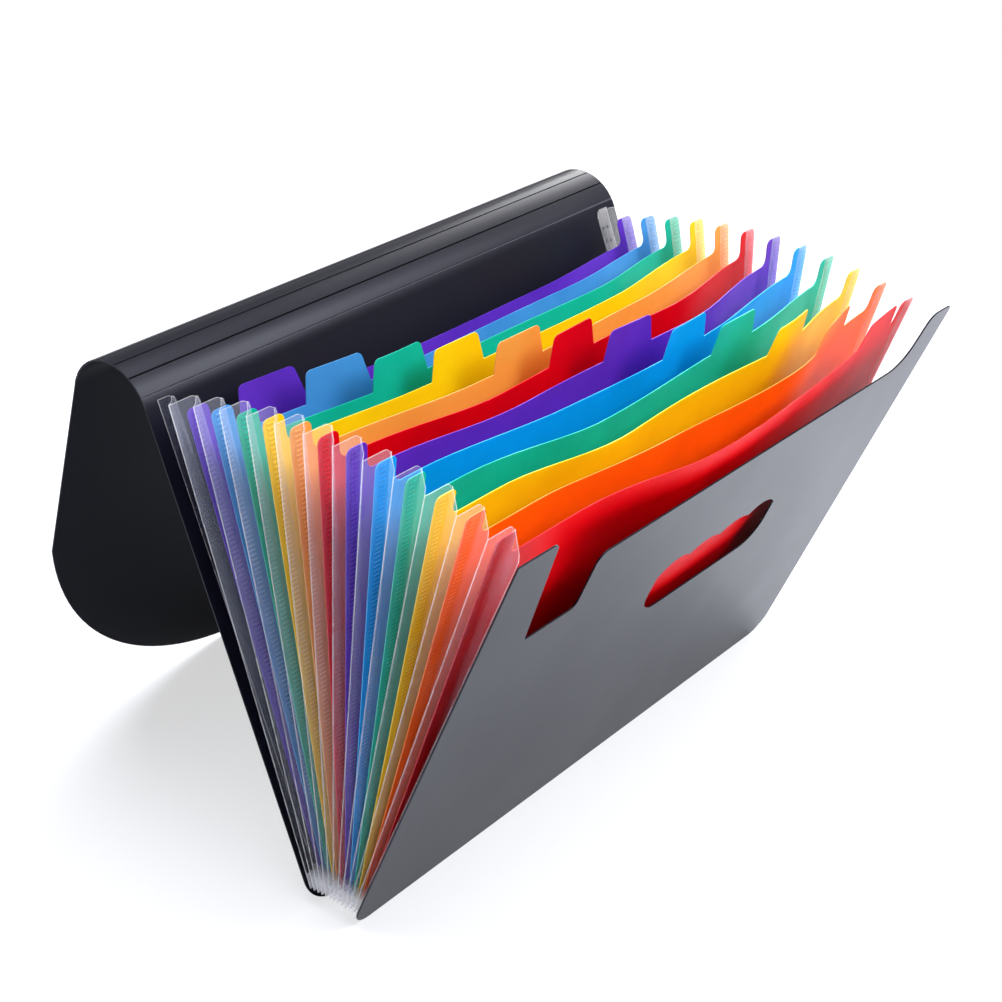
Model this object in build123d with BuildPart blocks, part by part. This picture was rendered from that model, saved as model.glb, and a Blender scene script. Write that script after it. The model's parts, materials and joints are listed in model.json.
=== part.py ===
"""Accordion file folder: thirteen pockets fanned open, cover folded behind as a leg. Millimetres.

X is the width, Y runs from the front panel to the rear, Z is up. The floor is Z = 0.
Sheet 0 is the back panel, sheets 1 to 12 are the dividers and the last sheet is the front panel.
"""

import os
from math import cos, radians, sin, sqrt, tan

from build123d import *

os.makedirs("parts", exist_ok=True)

# Driving dimensions: overall size and stance
width = 330.0
panel_height = 240.0
pockets = 13
foot_pitch = 2.1
lean_back = 20.8
fan_step = 3.4
foot_lift = 6.0

# Driving dimensions: sheet thickness and clearances
panel_t = 0.8
divider_t = 0.4
film_t = 0.3
weld_gap = 0.02
crease_gap = 0.15
panel_corner = 12.0

# Driving dimensions: cover
bands = 5
band_width = 10.0
crease_bend = 23.5
flap_side = 104.0

# Driving dimensions: front panel
front_drop = 5.0
scoop_depth = 30.0
left_ear = 25.0
notch_from_edge = 34.0
notch_width = 33.0
notch_depth = 61.0
right_ear = 19.0
scoop_rise_width = 4.0
hole_length = 95.0
hole_height = 31.0
hole_scallop = 3.0
hole_drop = 80.0
hole_corner = 13.5
fingers = 4
right_ear_corner = 4.0
right_ear_lip = 6.0
right_ear_sweep = 14.0
notch_lip = 6.0
notch_corner = 4.0
notch_nick = 1.5
left_ear_corner = 4.0

# Driving dimensions: dividers and gussets
gusset_face = 16.0
gusset_drop = 3.0
weld_width = 8.0
divider_foot = 4.0
divider_drop = 21.0
ear_rise = 13.0
ear_width = 12.0
tab_rise = 14.0
tab_width = 28.0
tab_slope = 3.0
first_tab_inset = 37.0
last_tab_inset = 25.0
film_hem = 9.0
flange_foot = 0.3
flange_drop = 12.0
ear_corner = 3.0
ear_root = 4.0
tab_corner = 3.0

# Sizes that follow
dividers = pockets - 1
half = width / 2
lean_front = lean_back - pockets * fan_step
rest_turn = (bands + 1) * crease_bend
flap_angle = lean_back + rest_turn
crease_height = panel_height - foot_lift
front_top = crease_height - front_drop
scoop_top = front_top - scoop_depth
flange_top = front_top - flange_drop
gusset_top = crease_height - gusset_drop
divider_top = crease_height - divider_drop
inner_fold = half - gusset_face
divider_half = half - gusset_face + weld_width


def lean(sheet):
    """Angle of a sheet from upright, towards the rear."""
    return lean_back - sheet * fan_step


def up(angle):
    """Direction along a sheet that leaves upright by this angle towards the rear."""
    return Vector(0, sin(radians(angle)), cos(radians(angle)))


def front_normal(angle):
    """Direction square to such a sheet, towards the front."""
    return Vector(0, -cos(radians(angle)), sin(radians(angle)))


# The part is centred between the front panel's top edge and the foot of the cover
back_foot = Vector(0, pockets * foot_pitch / 2, foot_lift)
front_foot = back_foot - Vector(0, pockets * foot_pitch, 0)
first_crease = back_foot + up(lean_back) * crease_height - front_normal(lean_back) * (panel_t / 2)
flap_root = first_crease
for crease in range(1, bands + 1):
    flap_root = flap_root + up(lean_back + crease * crease_bend) * band_width
flap_length = (flap_root.Z - panel_t / 2 * sin(radians(flap_angle))) / -cos(radians(flap_angle))
rear_limit = flap_root + up(flap_angle) * flap_length + front_normal(flap_angle) * (panel_t / 2)
front_limit = front_foot + up(lean_front) * front_top + front_normal(lean_front) * panel_t
to_centre = Vector(0, -(rear_limit.Y + front_limit.Y) / 2, 0)


def foot(sheet):
    """The fold line at the foot of a sheet, at mid width."""
    return back_foot + to_centre - Vector(0, sheet * foot_pitch, 0)


def sheet_plane(sheet, forward=0.0):
    """Plane of a sheet, moved forward: local x is the width and local y the height above its foot."""
    normal = front_normal(lean(sheet))
    return Plane(foot(sheet) + normal * forward, x_dir=(1, 0, 0), z_dir=normal)


def level_plane(sheet, height):
    """Plane across a sheet at a height: local x is the width and local y points to the rear."""
    return Plane(foot(sheet) + up(lean(sheet)) * height, x_dir=(1, 0, 0), z_dir=up(lean(sheet)))


def cover_plane(root, angle):
    """Mid plane of a piece of the cover: local y runs along the cover from its root crease."""
    normal = front_normal(angle)
    return Plane(root - normal * (panel_t / 2), x_dir=(1, 0, 0), z_dir=normal)


def panel_overhang(angle):
    """How far a panel reaches below its foot fold to stand on the floor with its outer edge."""
    return (foot_lift - panel_t * sin(radians(abs(angle)))) / cos(radians(angle))


def film_forward(sheet):
    """Where the film lies in front of a sheet's foot plane."""
    return weld_gap if sheet == 0 else divider_t / 2 + weld_gap


def nearest(sketch, x, y):
    """The corner of a sketch closest to a point."""
    return sketch.vertices().sort_by_distance((x, y, 0))[0]


# Back panel
overhang = panel_overhang(lean_back)
with BuildPart() as back_panel:
    with BuildSketch(sheet_plane(0)) as outline:
        with Locations((0, (crease_height - crease_gap - overhang) / 2)):
            Rectangle(width, crease_height - crease_gap + overhang)
        fillet(outline.vertices().group_by(Axis.Y)[0], panel_corner)
    extrude(amount=-panel_t)
back_panel.part.label = "back_panel"
export_step(back_panel.part, "parts/back_panel.step")

# Spine bands, each between two creases
root = first_crease + to_centre
for number in range(1, bands + 1):
    angle = lean_back + number * crease_bend
    with BuildPart() as spine_band:
        with BuildSketch(cover_plane(root, angle)):
            with Locations((0, band_width / 2)):
                Rectangle(width, band_width - 2 * crease_gap)
        extrude(amount=panel_t)
    spine_band.part.label = f"spine_band_{number}"
    export_step(spine_band.part, f"parts/spine_band_{number}.step")
    root = root + up(angle) * band_width

# Cover flap: straight sides, then one round end from side to side
with BuildPart() as cover_flap:
    with BuildSketch(cover_plane(root, flap_angle)):
        with BuildLine():
            Polyline((half, flap_side), (half, crease_gap), (-half, crease_gap), (-half, flap_side))
            ThreePointArc((-half, flap_side), (0, flap_length), (half, flap_side))
        make_face()
    extrude(amount=panel_t)
cover_flap.part.label = "cover_flap"
export_step(cover_flap.part, "parts/cover_flap.step")

# Front panel: two ears, a thumb notch, a lowered top edge and a hand hole with finger scallops
overhang = panel_overhang(lean_front)
notch_left = -half + notch_from_edge
notch_right = notch_left + notch_width
notch_floor = front_top - notch_depth
ear_foot = half - right_ear - scoop_rise_width
hole_middle = (notch_right + ear_foot) / 2
hole_top = front_top - hole_drop
hole_floor = hole_top - hole_height
hole_end = hole_length / 2
cusp_height = hole_top - hole_scallop
knuckle = hole_length / fingers
with BuildPart() as front_panel:
    with BuildSketch(sheet_plane(pockets)) as outline:
        with BuildLine():
            Polyline(
                (-half, -overhang),
                (half, -overhang),
                (half, front_top),
                (half - right_ear, front_top),
                (ear_foot, scoop_top),
                (notch_right, scoop_top),
                (notch_right, notch_floor),
                (notch_left, notch_floor),
                (-half + left_ear, front_top),
                (-half, front_top),
                close=True,
            )
        make_face()
        fillet(outline.vertices().group_by(Axis.Y)[0], panel_corner)
        fillet(nearest(outline, half, front_top), right_ear_corner)
        fillet(nearest(outline, half - right_ear, front_top), right_ear_lip)
        fillet(nearest(outline, ear_foot, scoop_top), right_ear_sweep)
        fillet(nearest(outline, notch_right, scoop_top), notch_lip)
        fillet(nearest(outline, notch_right, notch_floor), notch_corner)
        fillet(nearest(outline, notch_left, notch_floor), notch_nick)
        fillet(nearest(outline, -half + left_ear, front_top), left_ear_corner)
    extrude(amount=panel_t)
    with BuildSketch(sheet_plane(pockets)):
        with BuildLine():
            left, right = hole_middle - hole_end, hole_middle + hole_end
            low = hole_floor + hole_corner
            Line((left + hole_corner, hole_floor), (right - hole_corner, hole_floor))
            RadiusArc((right - hole_corner, hole_floor), (right, low), -hole_corner)
            Line((right, low), (right, cusp_height - hole_scallop))
            Line((left, cusp_height - hole_scallop), (left, low))
            RadiusArc((left, low), (left + hole_corner, hole_floor), -hole_corner)
            for finger in range(fingers):
                start = left + finger * knuckle
                low_left = cusp_height - (hole_scallop if finger == 0 else 0)
                low_right = cusp_height - (hole_scallop if finger == fingers - 1 else 0)
                ThreePointArc(
                    (start, low_left),
                    (start + knuckle / 2, hole_top),
                    (start + knuckle, low_right),
                )
        make_face()
    extrude(amount=panel_t, mode=Mode.SUBTRACT)
front_panel.part.label = "front_panel"
export_step(front_panel.part, "parts/front_panel.step")

# Dividers: raised ears, and one index tab that steps across from sheet to sheet
tab_step = (width - first_tab_inset - last_tab_inset - tab_width) / (dividers - 1)
ear_inner = divider_half - ear_width
for number in range(1, dividers + 1):
    tab_left = -half + first_tab_inset + (number - 1) * tab_step
    tab_right = tab_left + tab_width
    with BuildPart() as divider:
        with BuildSketch(sheet_plane(number, -divider_t / 2)) as outline:
            with BuildLine():
                Polyline(
                    (-divider_half, divider_foot),
                    (divider_half, divider_foot),
                    (divider_half, divider_top + ear_rise),
                    (ear_inner, divider_top + ear_rise),
                    (ear_inner, divider_top),
                    (-ear_inner, divider_top),
                    (-ear_inner, divider_top + ear_rise),
                    (-divider_half, divider_top + ear_rise),
                    close=True,
                )
            make_face()
            for side in (-1, 1):
                fillet(nearest(outline, side * divider_half, divider_top + ear_rise), ear_corner)
                fillet(nearest(outline, side * ear_inner, divider_top + ear_rise), ear_corner)
                fillet(nearest(outline, side * ear_inner, divider_top), ear_root)
            with BuildLine():
                Polyline(
                    (tab_left - tab_slope, divider_top - tab_slope),
                    (tab_right + tab_slope, divider_top - tab_slope),
                    (tab_right + tab_slope, divider_top),
                    (tab_right, divider_top + tab_rise),
                    (tab_left, divider_top + tab_rise),
                    (tab_left - tab_slope, divider_top),
                    close=True,
                )
            make_face()
            fillet(nearest(outline, tab_left, divider_top + tab_rise), tab_corner)
            fillet(nearest(outline, tab_right, divider_top + tab_rise), tab_corner)
        extrude(amount=divider_t)
    name = f"divider_{number:02d}"
    divider.part.label = name
    export_step(divider.part, f"parts/{name}.step")

# Gusset pleats: a flat face welded to the sheet behind, then a slanted face out to the next sheet
for number in range(1, pockets + 1):
    behind = number - 1
    flat = film_forward(behind)
    reach = -film_t - weld_gap if number == pockets else divider_t / 4
    for side, side_name in ((-1, "left"), (1, "right")):
        with BuildPart() as pleat:
            for height in (divider_foot, gusset_top):
                offset = foot_pitch * sin(radians(lean(behind)))
                ahead = foot_pitch * cos(radians(lean(behind)))
                ahead = ahead + (height + offset) * tan(radians(fan_step)) + reach
                slant = (ahead - flat) / gusset_face
                thick = film_t * sqrt(1 + slant**2)
                fold = half - (ahead - flat - thick - film_t) / slant
                with BuildSketch(level_plane(behind, height)):
                    Polygon(
                        (side * half, -flat),
                        (side * inner_fold, -flat),
                        (side * half, -ahead),
                        (side * half, -ahead + thick),
                        (side * fold, -flat - film_t),
                        (side * half, -flat - film_t),
                        align=None,
                    )
            loft(ruled=True)
        name = f"{side_name}_pleat_{number:02d}"
        pleat.part.label = name
        export_step(pleat.part, f"parts/{name}.step")

# Pocket bottoms: a hem welded to the sheet behind and a floor strip to the foot of the sheet in front
for number in range(1, pockets + 1):
    behind = number - 1
    hem_foot = foot(behind) + front_normal(lean(behind)) * film_forward(behind)
    hem_top = hem_foot + up(lean(behind)) * film_hem
    hem_out = front_normal(lean(behind)) * film_t
    strip_start = (hem_foot + hem_out / 2).Y
    near, far = foot(behind), foot(number)
    with BuildPart() as pocket_bottom:
        with BuildSketch(Plane.YZ.offset(-inner_fold + film_t)):
            Polygon(
                (hem_foot.Y, hem_foot.Z),
                ((hem_foot + hem_out).Y, (hem_foot + hem_out).Z),
                ((hem_top + hem_out).Y, (hem_top + hem_out).Z),
                (hem_top.Y, hem_top.Z),
                align=None,
            )
            Polygon(
                (strip_start, near.Z - film_t / 2),
                (strip_start, near.Z + film_t / 2),
                (far.Y + crease_gap, far.Z + film_t / 2),
                (far.Y + crease_gap, far.Z - film_t / 2),
                align=None,
            )
        extrude(amount=2 * (inner_fold - film_t))
    name = f"pocket_bottom_{number:02d}"
    pocket_bottom.part.label = name
    export_step(pocket_bottom.part, f"parts/{name}.step")

# Film flange welded inside the front panel along its two sides and its foot
with BuildPart() as front_film_flange:
    with BuildSketch(sheet_plane(pockets, -weld_gap)):
        with BuildLine():
            Polyline(
                (-half, flange_foot),
                (half, flange_foot),
                (half, flange_top),
                (inner_fold, flange_top),
                (inner_fold, film_hem),
                (-inner_fold, film_hem),
                (-inner_fold, flange_top),
                (-half, flange_top),
                close=True,
            )
        make_face()
    extrude(amount=-film_t)
front_film_flange.part.label = "front_film_flange"
export_step(front_film_flange.part, "parts/front_film_flange.step")
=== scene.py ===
"""Accordion file folder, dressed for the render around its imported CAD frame. Metres.

X is the width, Y runs from the front panel to the rear, Z is up. Sheet 0 is the back panel,
sheets 1 to 12 are the dividers and sheet 13 is the front panel. On a sheet, x is the width,
s the height above its foot fold and n the distance in front of it.
"""

import json
from math import cos, pi, radians, sin, tan

import bmesh
import bpy
from mathutils import Matrix, Vector


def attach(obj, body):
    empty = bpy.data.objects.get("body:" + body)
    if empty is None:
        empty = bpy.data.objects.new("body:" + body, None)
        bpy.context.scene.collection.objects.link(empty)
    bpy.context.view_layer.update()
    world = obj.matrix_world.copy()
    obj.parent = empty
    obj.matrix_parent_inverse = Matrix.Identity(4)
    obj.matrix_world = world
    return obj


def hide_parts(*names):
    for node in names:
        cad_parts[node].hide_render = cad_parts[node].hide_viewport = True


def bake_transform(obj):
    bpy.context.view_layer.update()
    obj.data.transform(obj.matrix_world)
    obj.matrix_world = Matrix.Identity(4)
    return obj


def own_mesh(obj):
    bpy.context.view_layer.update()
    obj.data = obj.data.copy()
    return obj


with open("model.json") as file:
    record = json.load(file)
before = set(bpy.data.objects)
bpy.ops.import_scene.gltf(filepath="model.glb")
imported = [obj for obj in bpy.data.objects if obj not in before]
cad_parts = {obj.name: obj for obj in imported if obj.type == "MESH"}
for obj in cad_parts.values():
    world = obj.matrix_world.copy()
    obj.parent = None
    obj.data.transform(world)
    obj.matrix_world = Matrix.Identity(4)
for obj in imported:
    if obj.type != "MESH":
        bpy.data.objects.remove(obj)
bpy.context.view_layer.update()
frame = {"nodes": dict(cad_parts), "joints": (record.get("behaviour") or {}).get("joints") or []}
scene = bpy.context.scene
mm = 0.001

# Sizes of the frame, as the CAD has them
half = 165 * mm
pockets = 13
foot_pitch = 2.1 * mm
lean_back = radians(20.8)
fan_step = radians(3.4)
panel_t = 0.8 * mm
divider_t = 0.4 * mm
film_t = 0.3 * mm
weld_gap = 0.02 * mm
inner_fold = 149 * mm
film_foot = 4 * mm
film_top = 231 * mm
divider_top = 213 * mm
crease_bend = radians(23.5)
band_half = 5 * mm
creases = [Vector(j["pos_m"]) for j in frame["joints"] if j["name"].startswith("cover_crease")]
folds = [Vector(j["pos_m"]) for j in frame["joints"] if j["name"].startswith("pocket_fold")]
feet = [folds[0] + Vector((0, foot_pitch, 0))] + folds
cover_bodies = ["back_panel"] + [f"spine_band_{i}" for i in range(1, len(creases))] + ["cover_flap"]
sheet_bodies = ["back_panel"] + [f"divider_{k:02d}" for k in range(1, pockets)] + ["front_panel"]


def up(angle):
    """Direction along a sheet that leaves upright by this angle towards the rear."""
    return Vector((0, sin(angle), cos(angle)))


def forward(angle):
    """Direction square to such a sheet, towards the front."""
    return Vector((0, -cos(angle), sin(angle)))


def lean(sheet):
    """Angle by which a sheet leans to the rear."""
    return lean_back - sheet * fan_step


def on_sheet(sheet, x, s, n):
    """A point on a sheet, from its width, height and distance in front."""
    return feet[sheet] + Vector((x, 0, 0)) + up(lean(sheet)) * s + forward(lean(sheet)) * n


def smooth(t):
    """Eases from 0 to 1."""
    t = min(max(t, 0.0), 1.0)
    return t * t * (3 - 2 * t)


# Materials

def colour(text):
    """Linear colour of an sRGB hex value."""
    parts = [int(text[i:i + 2], 16) / 255 for i in (1, 3, 5)]
    return tuple(c / 12.92 if c <= 0.04045 else ((c + 0.055) / 1.055) ** 2.4 for c in parts) + (1,)


def add_node(tree, kind, settings=None, values=None, links=None):
    """A node with its settings, its socket values and the sockets that feed it."""
    node = tree.nodes.new(kind)
    for name, value in (settings or {}).items():
        setattr(node, name, value)
    for name, value in (values or {}).items():
        node.inputs[name].default_value = value
    for name, socket in (links or {}).items():
        tree.links.new(socket, node.inputs[name])
    return node


def new_material(name):
    """A material with an empty node tree."""
    material = bpy.data.materials.new(name)
    material.use_nodes = True
    material.node_tree.nodes.clear()
    return material, material.node_tree


def show(tree, shader):
    """Makes a shader the surface of its material."""
    add_node(tree, "ShaderNodeOutputMaterial", links={"Surface": shader})


def cover_material(name, tint, whiter, gloss=0.17):
    """Black polypropylene sheet with a fine matt grain: near black, with a broad satin sheen."""
    grain_width = 0.9 * mm
    cloud_width = 60 * mm
    material, tree = new_material(name)
    place = add_node(tree, "ShaderNodeTexCoord")
    grain = add_node(tree, "ShaderNodeTexNoise", values={"Scale": 1 / grain_width, "Detail": 2.0},
                     links={"Vector": place.outputs["Object"]})
    cloud = add_node(tree, "ShaderNodeTexNoise", values={"Scale": 1 / cloud_width, "Detail": 3.0},
                     links={"Vector": place.outputs["Object"]})
    shade = add_node(tree, "ShaderNodeMapRange", values={"From Min": 0.35, "From Max": 0.65},
                     links={"Value": grain.outputs["Fac"]})
    base = add_node(tree, "ShaderNodeMix", {"data_type": "RGBA"},
                    values={"A": colour(tint), "B": colour(whiter)},
                    links={"Factor": shade.outputs["Result"]})
    rough = add_node(tree, "ShaderNodeMapRange",
                     values={"From Min": 0.3, "From Max": 0.7, "To Min": 0.33, "To Max": 0.36},
                     links={"Value": cloud.outputs["Fac"]})
    bump = add_node(tree, "ShaderNodeBump", values={"Strength": 0.06, "Distance": 0.1 * mm},
                    links={"Height": grain.outputs["Fac"]})
    shader = add_node(tree, "ShaderNodeBsdfPrincipled",
                      values={"IOR": 1.49, "Specular IOR Level": gloss,
                              "Specular Tint": colour("#E9EDFF")},
                      links={"Base Color": base.outputs["Result"], "Roughness": rough.outputs["Result"],
                             "Normal": bump.outputs["Normal"]})
    show(tree, shader.outputs["BSDF"])
    return material


def divider_material(name, tint, deep):
    """Coloured polypropylene sheet, thin enough to pass light: saturated, with faint mottling."""
    mottle_width = 25 * mm
    grain_width = 1.2 * mm
    light_passing = 0.40
    material, tree = new_material(name)
    place = add_node(tree, "ShaderNodeTexCoord")
    mottle = add_node(tree, "ShaderNodeTexNoise", values={"Scale": 1 / mottle_width, "Detail": 4.0},
                      links={"Vector": place.outputs["Object"]})
    grain = add_node(tree, "ShaderNodeTexNoise", values={"Scale": 1 / grain_width, "Detail": 1.0},
                     links={"Vector": place.outputs["Object"]})
    share = add_node(tree, "ShaderNodeMapRange", values={"From Min": 0.3, "From Max": 0.7},
                     links={"Value": mottle.outputs["Fac"]})
    base = add_node(tree, "ShaderNodeMix", {"data_type": "RGBA"},
                    values={"A": colour(tint), "B": colour(deep)},
                    links={"Factor": share.outputs["Result"]})
    rough = add_node(tree, "ShaderNodeMapRange", values={"To Min": 0.36, "To Max": 0.46},
                     links={"Value": mottle.outputs["Fac"]})
    bump = add_node(tree, "ShaderNodeBump", values={"Strength": 0.05, "Distance": 0.1 * mm},
                    links={"Height": grain.outputs["Fac"]})
    skin = add_node(tree, "ShaderNodeBsdfPrincipled", values={"IOR": 1.49, "Specular IOR Level": 0.12},
                    links={"Base Color": base.outputs["Result"], "Roughness": rough.outputs["Result"],
                           "Normal": bump.outputs["Normal"]})
    glow = add_node(tree, "ShaderNodeBsdfTranslucent", links={"Color": base.outputs["Result"]})
    sheet = add_node(tree, "ShaderNodeMixShader", values={0: light_passing},
                     links={1: skin.outputs["BSDF"], 2: glow.outputs["BSDF"]})
    show(tree, sheet.outputs["Shader"])
    return material


def film_material(name, tint, cover, streak=0.15, foot_share=1.0):
    """Frosted polypropylene film: most of what lies behind it shows, under a milky veil.

    Light passes on through it, so both sides are lit. The veil is streaked along the height, most
    where the film is slack, whose stronger streaks are painted highlights of its crinkles. It may
    thin out towards the foot: painted shade, for the haze getting less light low in the pockets.
    """
    streak_width = 9 * mm
    streak_squeeze = 0.3
    foot_height, full_veil_height = 30 * mm, 200 * mm
    light_passing = 0.5
    material, tree = new_material(name)
    place = add_node(tree, "ShaderNodeTexCoord")
    along = add_node(tree, "ShaderNodeMapping", values={"Scale": (1, 1, streak_squeeze)},
                     links={"Vector": place.outputs["Object"]})
    haze = add_node(tree, "ShaderNodeTexNoise", values={"Scale": 1 / streak_width, "Detail": 3.0},
                    links={"Vector": along.outputs["Vector"]})
    streaks = add_node(tree, "ShaderNodeMapRange",
                       values={"From Min": 0.35, "From Max": 0.65,
                               "To Min": cover * (1 - streak), "To Max": cover * (1 + streak)},
                       links={"Value": haze.outputs["Fac"]})
    axes = add_node(tree, "ShaderNodeSeparateXYZ", links={"Vector": place.outputs["Object"]})
    # Painted shade: the veil thins towards the foot, where the haze gets less light low in the pockets
    foot_shade = add_node(tree, "ShaderNodeMapRange",
                      values={"From Min": foot_height, "From Max": full_veil_height,
                              "To Min": foot_share, "To Max": 1.0},
                      links={"Value": axes.outputs["Z"]})
    veil = add_node(tree, "ShaderNodeMath", {"operation": "MULTIPLY"},
                    links={0: streaks.outputs["Result"], 1: foot_shade.outputs["Result"]})
    skin = add_node(tree, "ShaderNodeBsdfPrincipled",
                    values={"Base Color": colour(tint), "Roughness": 0.28, "IOR": 1.49},
                    links={"Alpha": veil.outputs["Value"]})
    clear = add_node(tree, "ShaderNodeBsdfTransparent")
    lit = add_node(tree, "ShaderNodeBsdfTranslucent", values={"Color": colour(tint)})
    through = add_node(tree, "ShaderNodeMixShader",
                       links={0: veil.outputs["Value"], 1: clear.outputs["BSDF"],
                              2: lit.outputs["BSDF"]})
    film = add_node(tree, "ShaderNodeMixShader", values={0: light_passing},
                    links={1: skin.outputs["BSDF"], 2: through.outputs["Shader"]})
    show(tree, film.outputs["Shader"])
    return material


black_sheet = cover_material("black_polypropylene_sheet", "#08080F", "#0D0D18")
# A lighter line along the first crease: partly the whitened scored plastic, partly a painted highlight
score_whitening_and_highlight = cover_material("black_polypropylene_score_whitening_and_highlight", "#2A2A31", "#3A3A42")
# Painted shade: near black and almost without sheen, for the shadow in the pressed grooves of creases 2
# to 6
groove_shade = cover_material("black_polypropylene_groove_shade", "#020203", "#040405", gloss=0.02)
clear_film = film_material("frosted_film", "#E2E6FA", 0.07, foot_share=0.25)
# Thinner veil for the film on the back panel in the first pocket: painted shade, where the arched spine
# shades it
shaded_panel_film = film_material("frosted_film_on_panel_shaded", "#D8DDFA", 0.025, foot_share=0.25)
# Right-hand film, slack and crinkled: its stronger streaks are painted highlights of the crinkles
slack_film_glints = film_material("frosted_film_slack_glints", "#FFFFFF", 0.10, streak=0.3)
film_fold = film_material("frosted_film_fold", "#FAFAFC", 0.26)
film_hem = film_material("frosted_film_hem", "#F4F4F8", 0.28)

# Each divider tint: the sheet, its deeper mottling, and a paler tint painted on its cut edge and weld
# dots as a highlight
divider_tints = {
    "purple": ("#6330BE", "#5A2BB2", "#8058CF"),
    "light_blue": ("#4A9AD8", "#4290D0", "#7FBBE6"),
    "teal": ("#06BAA4", "#05AF9A", "#50D0C0"),
    "yellow": ("#F0D40C", "#EBCA0A", "#F8E468"),
    "light_orange": ("#EDAE50", "#E8A648", "#F5CC90"),
    "red": ("#E3000F", "#D6000E", "#F04A55"),
    # The front purple, teal and yellow are lighter copies of the rear ones: painted light, as the
    # forward-leaning front sheets get less lamp light
    "front_purple_lit": ("#7634C4", "#6C2FB8", "#9062D6"),
    "blue": ("#08B0F4", "#07A6E8", "#62C8F6"),
    "front_teal_lit": ("#08C8BA", "#07BCAE", "#5AD8CC"),
    "front_yellow_lit": ("#F4DC12", "#EFD210", "#FAEA70"),
    "orange": ("#FF8712", "#F87F10", "#FFAA5C"),
}
divider_order = ["purple", "light_blue", "teal", "yellow", "light_orange", "red",
                 "front_purple_lit", "blue", "front_teal_lit", "front_yellow_lit", "orange", "red"]
divider_slots = ["purple", "blue", "teal", "yellow", "orange", "red"]
divider_sheet = {name: divider_material(f"polypropylene_{name}", sheet, deep)
                 for name, (sheet, deep, pale) in divider_tints.items()}
# Paler copies of each tint for the cut edges and weld dots: painted highlight, where the thin edges
# catch the light
divider_edge_highlight = {name: divider_material(f"polypropylene_{name}_edge", pale, sheet)
                for name, (sheet, deep, pale) in divider_tints.items()}


def divider_slot(number):
    """The record's slot for a divider's colour: six colours, used twice."""
    return "divider_" + divider_slots[(number - 1) % len(divider_slots)]


# Making pieces

merge_distance = 0.002 * mm
cut_distance = 0.001 * mm
flat_angle = radians(1)
sharp_angle = radians(30)


def new_piece(name, bm, *materials):
    """A finished object at the origin from a bmesh, smooth apart from its sharp edges."""
    bmesh.ops.recalc_face_normals(bm, faces=bm.faces)
    mesh = bpy.data.meshes.new(name)
    bm.to_mesh(mesh)
    bm.free()
    for material in materials:
        mesh.materials.append(material)
    mesh.polygons.foreach_set("use_smooth", [True] * len(mesh.polygons))
    mesh.set_sharp_from_angle(angle=sharp_angle)
    piece = bpy.data.objects.new(name, mesh)
    scene.collection.objects.link(piece)
    return piece


def solid_of(node):
    """The CAD node's solid as a closed bmesh with whole flat faces."""
    bm = bmesh.new()
    bm.from_mesh(frame["nodes"][node].data)
    bmesh.ops.remove_doubles(bm, verts=bm.verts, dist=merge_distance)
    bmesh.ops.dissolve_limit(bm, angle_limit=flat_angle, verts=bm.verts, edges=bm.edges)
    return bm


def cut(bm, point, normal, clear=False):
    """Cuts a bmesh along a plane; with clear it takes off what lies beyond and closes the cut."""
    everything = bm.verts[:] + bm.edges[:] + bm.faces[:]
    made = bmesh.ops.bisect_plane(bm, geom=everything, plane_co=point, plane_no=normal,
                                  clear_outer=clear, dist=cut_distance)
    if clear:
        edges = [e for e in made["geom_cut"] if isinstance(e, bmesh.types.BMEdge)]
        bmesh.ops.edgeloop_fill(bm, edges=edges)


# Cover: two panels and the flap, then a curved bend over each crease

edge_round = 0.2 * mm
edge_angle = radians(50)
seam_distance = 0.02 * mm


def panel(name, node, trim=None):
    """A black panel from its CAD solid: edges rounded, trimmed square where a bend joins it."""
    bm = solid_of(node)
    if trim:
        cut(bm, *trim, clear=True)
    weight = bm.edges.layers.float.new("bevel_weight_edge")
    for edge_highlight in bm.edges:
        at_seam = trim and all(abs((v.co - trim[0]).dot(trim[1])) < seam_distance for v in edge_highlight.verts)
        edge_highlight[weight] = float(edge_highlight.calc_face_angle(0) > edge_angle and not at_seam)
    piece = new_piece(name, bm, black_sheet)
    bevel = piece.modifiers.new("edge_highlight", "BEVEL")
    bevel.width = edge_round
    bevel.segments = 2
    bevel.limit_method = "WEIGHT"
    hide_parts(node)
    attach(piece, node)


flap_angle = lean_back + crease_bend * len(creases)
panel("front_panel_sheet", "front_panel")
panel("back_panel_sheet", "back_panel", (creases[0] - up(lean_back) * band_half, up(lean_back)))
panel("cover_flap_sheet", "cover_flap", (creases[-1] + up(flap_angle) * band_half, -up(flap_angle)))

score_width = 0.8 * mm
score_depth = 0.25 * mm
bend_steps = 10


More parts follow.
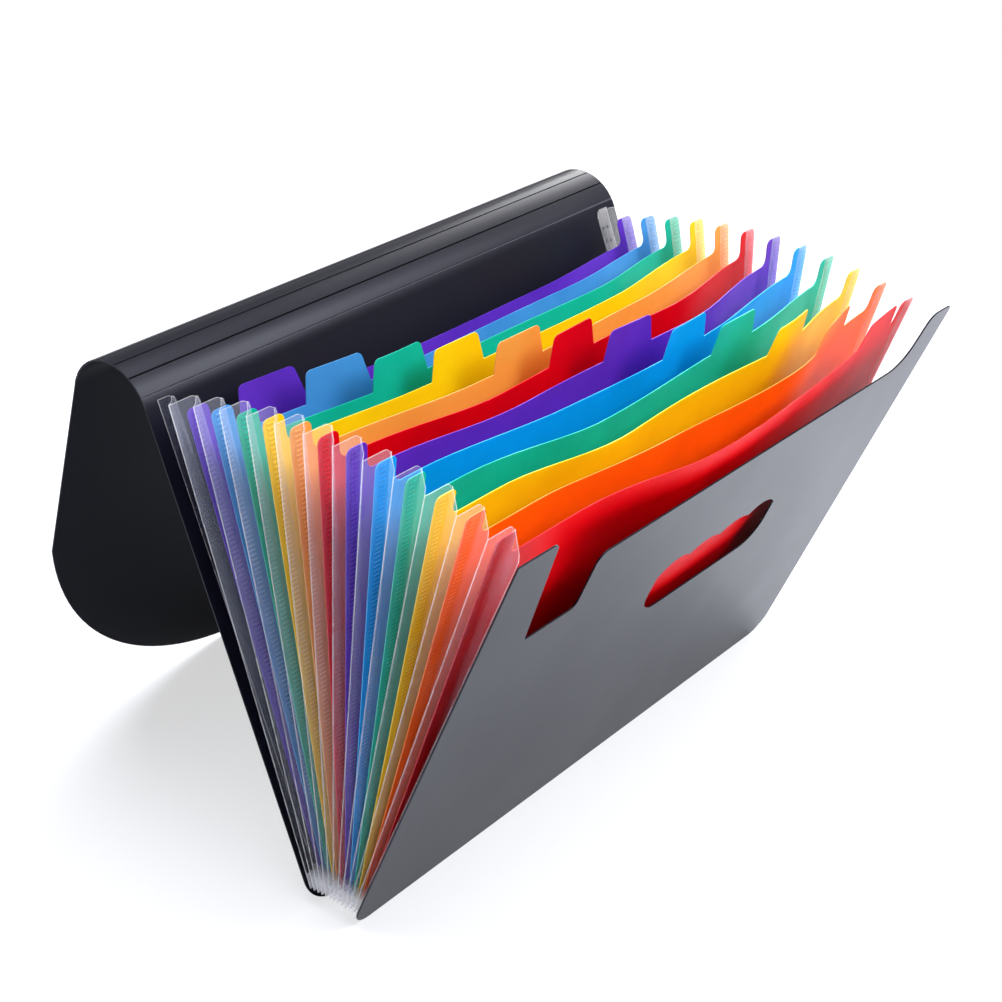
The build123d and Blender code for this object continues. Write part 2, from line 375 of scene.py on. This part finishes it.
def spine_bend(number):
    """The sheet from the middle of one band to the middle of the next, round one scored crease."""
    crease = creases[number - 1]
    start_angle = lean_back + (number - 1) * crease_bend
    radius = band_half / tan(crease_bend / 2)
    centre = crease - up(start_angle) * band_half - forward(start_angle) * radius
    middle = crease_bend / 2
    score_turn = score_width / 2 / radius
    turns = [crease_bend * i / bend_steps for i in range(bend_steps + 1)]
    turns = [t for t in turns if abs(t - middle) > score_turn]
    turns = sorted(turns + [middle - score_turn, middle, middle + score_turn])
    bm = bmesh.new()
    rings = []
    for turn in turns:
        out = forward(start_angle + turn)
        groove = score_depth if turn == middle else 0
        outer = centre + out * (radius + panel_t / 2 - groove)
        inner = centre + out * (radius - panel_t / 2)
        corners = ((outer, -half), (outer, half), (inner, half), (inner, -half))
        rings.append([bm.verts.new(p + Vector((x, 0, 0))) for p, x in corners])
    for i, (a, b) in enumerate(zip(rings, rings[1:])):
        for j in range(len(corners)):
            k = (j + 1) % len(corners)
            face = bm.faces.new((a[j], a[k], b[k], b[j]))
            # Faces in the groove take the second material: on the first crease a lighter line, partly a
            # painted highlight; on the others painted shade
            face.material_index = int(j == 0 and middle in turns[i:i + 2])
    bm.faces.new(rings[0])
    bm.faces.new(rings[-1][::-1])
    crease_light_and_shade = score_whitening_and_highlight if number == 1 else groove_shade
    piece = new_piece(f"spine_bend_{number}", bm, black_sheet, crease_light_and_shade)
    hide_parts(*[b for b in cover_bodies[number - 1:number + 1] if b.startswith("spine_band")])
    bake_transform(piece)


for number in range(1, len(creases) + 1):
    spine_bend(number)


# Dividers: each sheet bows forward between its welded ends

bow_end = 146 * mm
bow_run = 80 * mm
bow_power = 1.3
rear_bow, front_bow = 11 * mm, 8 * mm
rear_wave, front_wave = 0.8 * mm, 2.0 * mm
wave_length = 190 * mm
wave_shift = 1.7
left_lag = 45 * mm
divider_rows, divider_columns = 14, 36
face_on = 0.7


def bow(number, x, s):
    """How far a divider stands out of its plane: later from the left and wavier at the front."""
    share = (number - 1) / (pockets - 2)
    left_end = bow_end - left_lag * share ** 2
    ends = smooth((bow_end - x) / bow_run) * smooth((left_end + x) / bow_run)
    swell = rear_bow + (front_bow - rear_bow) * share
    wave = rear_wave + (front_wave - rear_wave) * share
    wave *= sin(2 * pi * x / wave_length + wave_shift * number)
    return (max(s, 0) / divider_top) ** bow_power * ends * (swell + wave)


def divider(number):
    """One divider: its CAD solid cut into a grid, bowed, with a paler tint painted on its cut edge as a
    highlight.
    """
    name = f"divider_{number:02d}"
    bm = solid_of(name)
    axis = forward(lean(number))
    for i in range(1, divider_columns):
        cut(bm, Vector((half * (2 * i / divider_columns - 1), 0, 0)), Vector((1, 0, 0)))
    for i in range(1, divider_rows):
        cut(bm, on_sheet(number, 0, divider_top * i / divider_rows, 0), up(lean(number)))
    bm.normal_update()
    # Faces not square to the sheet form its cut edge and take the paler tint, a painted highlight
    for face in bm.faces:
        face.material_index = 0 if abs(face.normal.dot(axis)) > face_on else 1
    for vert in bm.verts:
        s = (vert.co - feet[number]).dot(up(lean(number)))
        vert.co += axis * bow(number, vert.co.x, s)
    tint = divider_order[number - 1]
    piece = new_piece(f"divider_sheet_{number:02d}", bm, divider_sheet[tint], divider_edge_highlight[tint])
    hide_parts(name)
    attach(piece, name)
    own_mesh(piece)


for number in range(1, pockets):
    divider(number)


# Gussets: on each sheet a flat face of film, and a slanted face out to the next sheet

fold_line = 0.25 * mm
film_corner = 4 * mm
corner_steps = 5
film_rows = 8
slant_shares = (0.5, 0.75)
hem_top = 11 * mm
back_inset = 7 * mm
flange_clear = 1.5 * film_t + weld_gap


def film_behind(sheet):
    """Where the back of the film lies in front of a sheet."""
    return weld_gap if sheet == 0 else divider_t / 2 + weld_gap


def film_piece(name, grid, film):
    """A closed film from rows of points, whiter in its hem, at its outer fold and along its top."""
    bm = bmesh.new()
    rows = [[bm.verts.new(p) for p in row] for row in grid]
    for i, (a, b) in enumerate(zip(rows, rows[1:])):
        for j in range(len(a) - 1):
            face = bm.faces.new((a[j], a[j + 1], b[j + 1], b[j]))
            edge_highlight = j == len(a) - 2 or i == len(rows) - 2
            face.material_index = 2 if i == 0 else int(edge_highlight)
    bm.normal_update()
    bmesh.ops.solidify(bm, geom=bm.faces[:], thickness=film_t)
    piece = new_piece(name, bm, film, film_fold, film_hem)
    return piece


def film_height(x):
    """Top of the film at a distance from the middle, with a round corner beside the inner fold."""
    inside = max(film_corner - (abs(x) - inner_fold), 0)
    return film_top - film_corner + (film_corner ** 2 - inside ** 2) ** 0.5


def gusset(number, side, side_name):
    """One pleat at one end of a pocket: a flat face on the sheet behind, a slanted one to the next."""
    behind = number - 1
    node = f"{side_name}_pleat_{number:02d}"
    film = slack_film_glints if side > 0 else clear_film
    rim = fold_line / film_top
    hem = hem_top / film_top
    levels = [film_foot / film_top]
    levels += [hem + (1 - hem) * i / film_rows for i in range(film_rows)]
    levels += [1 - rim, 1]
    corner = [inner_fold + film_corner * i / corner_steps for i in range(corner_steps + 1)]

    outer = half - back_inset if behind == 0 else half
    columns = corner + [outer - fold_line, outer]
    depth = film_behind(behind) + (film_t if side > 0 else 0)
    grid = [[on_sheet(behind, side * x, level * film_height(x), depth) for x in columns]
            for level in levels]
    # Painted shade: the first pocket's left face on the back panel takes the thinner veil, under the
    # arched spine
    face_film = shaded_panel_film if behind == 0 and side < 0 else film
    face = film_piece(f"{side_name}_gusset_face_{number:02d}", grid, face_film)
    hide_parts(node)
    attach(face, sheet_bodies[behind])

    reach = -flange_clear if number == pockets else 0.0
    middle = film_behind(behind) + film_t / 2
    columns = corner + [inner_fold + (half - inner_fold) * share for share in slant_shares]
    columns += [half - fold_line, half]
    grid = []
    for level in levels:
        row = []
        for x in columns:
            share = (x - inner_fold) / (half - inner_fold)
            ease = (share + smooth(share)) / 2
            s = level * film_height(x)
            start = on_sheet(behind, side * x, s, middle + film_t)
            row.append(start.lerp(on_sheet(number, side * x, s, reach), ease))
        grid.append(row)
    slant = film_piece(f"{side_name}_gusset_slant_{number:02d}", grid, film)
    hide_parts(node)
    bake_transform(slant)


for number in range(1, pockets + 1):
    for side, side_name in ((-1, "left"), (1, "right")):
        gusset(number, side, side_name)

# The pocket bottoms and the front flange keep their CAD shape
for node in [f"pocket_bottom_{k:02d}" for k in range(1, pockets + 1)] + ["front_film_flange"]:
    mesh = frame["nodes"][node].data
    mesh.materials.clear()
    mesh.materials.append(clear_film)


# Weld dots: two columns of small raised dots where the film is welded to each sheet

ladder_middle = 120 * mm
ladder_sizes = {"Column Gap": 1.8 * mm, "Strip Length": 208 * mm, "Rows": 100, "Dot Width": 2.2 * mm,
                "Dot Height": 1.0 * mm, "Dot Rise": 0.2 * mm, "Strip Offset": 153 * mm}
back_spots_middle = 189 * mm
back_spots = {"Column Gap": 3.5 * mm, "Strip Length": 64 * mm, "Rows": 10, "Dot Width": 2.0 * mm,
              "Dot Height": 2.0 * mm, "Dot Rise": 0.1 * mm}


def weld_tree():
    """Geometry nodes: a two-column strip of raised dots at each end of a sheet."""
    tree = bpy.data.node_groups.new("weld_dots", "GeometryNodeTree")
    tree.interface.new_socket("Geometry", in_out="OUTPUT", socket_type="NodeSocketGeometry")
    for name, value in ladder_sizes.items():
        kind = "NodeSocketInt" if isinstance(value, int) else "NodeSocketFloat"
        tree.interface.new_socket(name, in_out="INPUT", socket_type=kind).default_value = value
    tree.interface.new_socket("Finish", in_out="INPUT", socket_type="NodeSocketMaterial")
    given = tree.nodes.new("NodeGroupInput").outputs
    strip = add_node(tree, "GeometryNodeMeshGrid", values={"Vertices X": 2},
                     links={"Size X": given["Column Gap"], "Size Y": given["Strip Length"],
                            "Vertices Y": given["Rows"]})
    points = add_node(tree, "GeometryNodeMeshToPoints", links={"Mesh": strip.outputs["Mesh"]})
    ball = add_node(tree, "GeometryNodeMeshUVSphere", values={"Segments": 8, "Rings": 4, "Radius": 0.5})
    shape = add_node(tree, "ShaderNodeCombineXYZ",
                     links={"X": given["Dot Width"], "Y": given["Dot Height"], "Z": given["Dot Rise"]})
    dot = add_node(tree, "GeometryNodeTransform",
                   links={"Geometry": ball.outputs["Mesh"], "Scale": shape.outputs["Vector"]})
    dots = add_node(tree, "GeometryNodeInstanceOnPoints",
                    links={"Points": points.outputs["Points"], "Instance": dot.outputs["Geometry"]})
    join = tree.nodes.new("GeometryNodeJoinGeometry")
    flip = add_node(tree, "ShaderNodeMath", {"operation": "MULTIPLY"}, values={1: -1.0},
                    links={0: given["Strip Offset"]})
    for offset in (given["Strip Offset"], flip.outputs["Value"]):
        place = add_node(tree, "ShaderNodeCombineXYZ", links={"X": offset})
        strip_end = add_node(tree, "GeometryNodeTransform",
                             links={"Geometry": dots.outputs["Instances"],
                                    "Translation": place.outputs["Vector"]})
        tree.links.new(strip_end.outputs["Geometry"], join.inputs["Geometry"])
    whole = add_node(tree, "GeometryNodeRealizeInstances", links={"Geometry": join.outputs["Geometry"]})
    done = add_node(tree, "GeometryNodeSetMaterial",
                    links={"Geometry": whole.outputs["Geometry"], "Material": given["Finish"]})
    add_node(tree, "NodeGroupOutput", links={"Geometry": done.outputs["Geometry"]})
    return tree


weld_dots = weld_tree()


def weld_strips(sheet, slot, middle, **sizes):
    """The weld dots of one sheet about a height, as a plain mesh on the face of its film."""
    carrier = bpy.data.objects.new("weld_carrier", bpy.data.meshes.new("weld_carrier"))
    scene.collection.objects.link(carrier)
    modifier = carrier.modifiers.new("dots", "NODES")
    modifier.node_group = weld_dots
    for item in weld_dots.interface.items_tree:
        if item.in_out == "INPUT" and item.name in sizes:
            modifier[item.identifier] = sizes[item.name]
    evaluated = carrier.evaluated_get(bpy.context.evaluated_depsgraph_get())
    mesh = bpy.data.meshes.new_from_object(evaluated)
    bpy.data.objects.remove(carrier)
    place = Matrix((Vector((1, 0, 0)), up(lean(sheet)), forward(lean(sheet)))).transposed().to_4x4()
    place.translation = on_sheet(sheet, 0, middle, film_behind(sheet) + film_t)
    mesh.transform(place)
    piece = bpy.data.objects.new(f"weld_dots_{sheet:02d}", mesh)
    scene.collection.objects.link(piece)
    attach(piece, sheet_bodies[sheet])


weld_strips(0, "cover", back_spots_middle, Finish=black_sheet, **back_spots)
# Dots on the dividers take the paler edge tint: a painted highlight on their relief
for sheet in range(1, pockets):
    weld_strips(sheet, divider_slot(sheet), ladder_middle,
                Finish=divider_edge_highlight[divider_order[sheet - 1]])


# Stage: pale floor, soft light and the photograph's viewpoint

floor_half = 6
floor_glow = 0.6
floor_near, floor_far = 0.5, 1.4
mirror_glow = 0.15
sky_light, sky_white = 0.3, 0.7


def seen(tree):
    """1 for rays from the camera, a little for mirrored and passing rays, 0 for the rest."""
    ray = add_node(tree, "ShaderNodeLightPath")
    mirrored = add_node(tree, "ShaderNodeMath", {"operation": "MAXIMUM"},
                        links={0: ray.outputs["Is Glossy Ray"], 1: ray.outputs["Is Transmission Ray"]})
    share = add_node(tree, "ShaderNodeMath", {"operation": "MULTIPLY_ADD"}, values={1: mirror_glow},
                     links={0: mirrored.outputs["Value"], 2: ray.outputs["Is Camera Ray"]})
    return share.outputs["Value"]


def floor_paint():
    """White studio floor: near white where it is seen, whiter far off, with the file's shadow."""
    material, tree = new_material("white_floor")
    paint = add_node(tree, "ShaderNodeBsdfPrincipled",
                     values={"Base Color": colour("#ECF0FA"), "Roughness": 0.7})
    white = add_node(tree, "ShaderNodeEmission",
                     values={"Color": colour("#FFFFFF"), "Strength": 1.0})
    place = add_node(tree, "ShaderNodeTexCoord")
    away = add_node(tree, "ShaderNodeVectorMath", {"operation": "LENGTH"},
                    links={0: place.outputs["Object"]})
    glow = add_node(tree, "ShaderNodeMapRange",
                    values={"From Min": floor_near, "From Max": floor_far,
                            "To Min": floor_glow, "To Max": 1.0},
                    links={"Value": away.outputs["Value"]})
    share = add_node(tree, "ShaderNodeMath", {"operation": "MULTIPLY"},
                     links={0: glow.outputs["Result"], 1: seen(tree)})
    floor_mix = add_node(tree, "ShaderNodeMixShader",
                         links={0: share.outputs["Value"], 1: paint.outputs["BSDF"],
                                2: white.outputs["Emission"]})
    show(tree, floor_mix.outputs["Shader"])
    return material


bm = bmesh.new()
bmesh.ops.create_grid(bm, x_segments=1, y_segments=1, size=floor_half)
floor = new_piece("floor", bm, floor_paint())

world = bpy.data.worlds.new("studio")
world.use_nodes = True
sky = world.node_tree
sky.nodes["Background"].inputs["Color"].default_value = colour("#FFFFFF")
strength = add_node(sky, "ShaderNodeMath", {"operation": "MULTIPLY_ADD"},
                    values={1: sky_white, 2: sky_light}, links={0: seen(sky)})
sky.links.new(strength.outputs["Value"], sky.nodes["Background"].inputs["Strength"])
scene.world = world


def lamp(name, place, aim, size, power):
    """A round soft lamp, in metres and watts."""
    light = bpy.data.lights.new(name, "AREA")
    light.shape = "DISK"
    light.size = size
    light.energy = power
    item = bpy.data.objects.new(name, light)
    item.location = place
    item.rotation_euler = (Vector(aim) - Vector(place)).to_track_quat("-Z", "Y").to_euler()
    scene.collection.objects.link(item)


lamp("top_light", place=(0, 0.1, 1.5), aim=(0, 0, 0.1), size=1.4, power=35)
lamp("front_light", place=(0.75, -1.05, 1.4), aim=(0, 0, 0.15), size=1.2, power=48)
lamp("right_light", place=(1.4, 0.45, 0.6), aim=(0.1, 0, 0.15), size=1.0, power=26)

view_yaw, view_pitch = radians(50.67), radians(27.71)
view_distance = 0.9544
view_target = Vector((5.2, -11.4, 125.4)) * mm
view_dir = Vector((sin(view_yaw) * cos(view_pitch), cos(view_yaw) * cos(view_pitch),
                   -sin(view_pitch)))
camera = bpy.data.objects.new("photo_camera", bpy.data.cameras.new("photo_camera"))
camera.data.sensor_width = 36
camera.data.lens = 70.7
camera.data.clip_start = 0.01
camera.location = view_target - view_dir * view_distance
camera.rotation_euler = view_dir.to_track_quat("-Z", "Y").to_euler()
scene.collection.objects.link(camera)
scene.camera = camera
scene.view_settings.view_transform = "Standard"
scene.cycles.transparent_max_bounces = 32
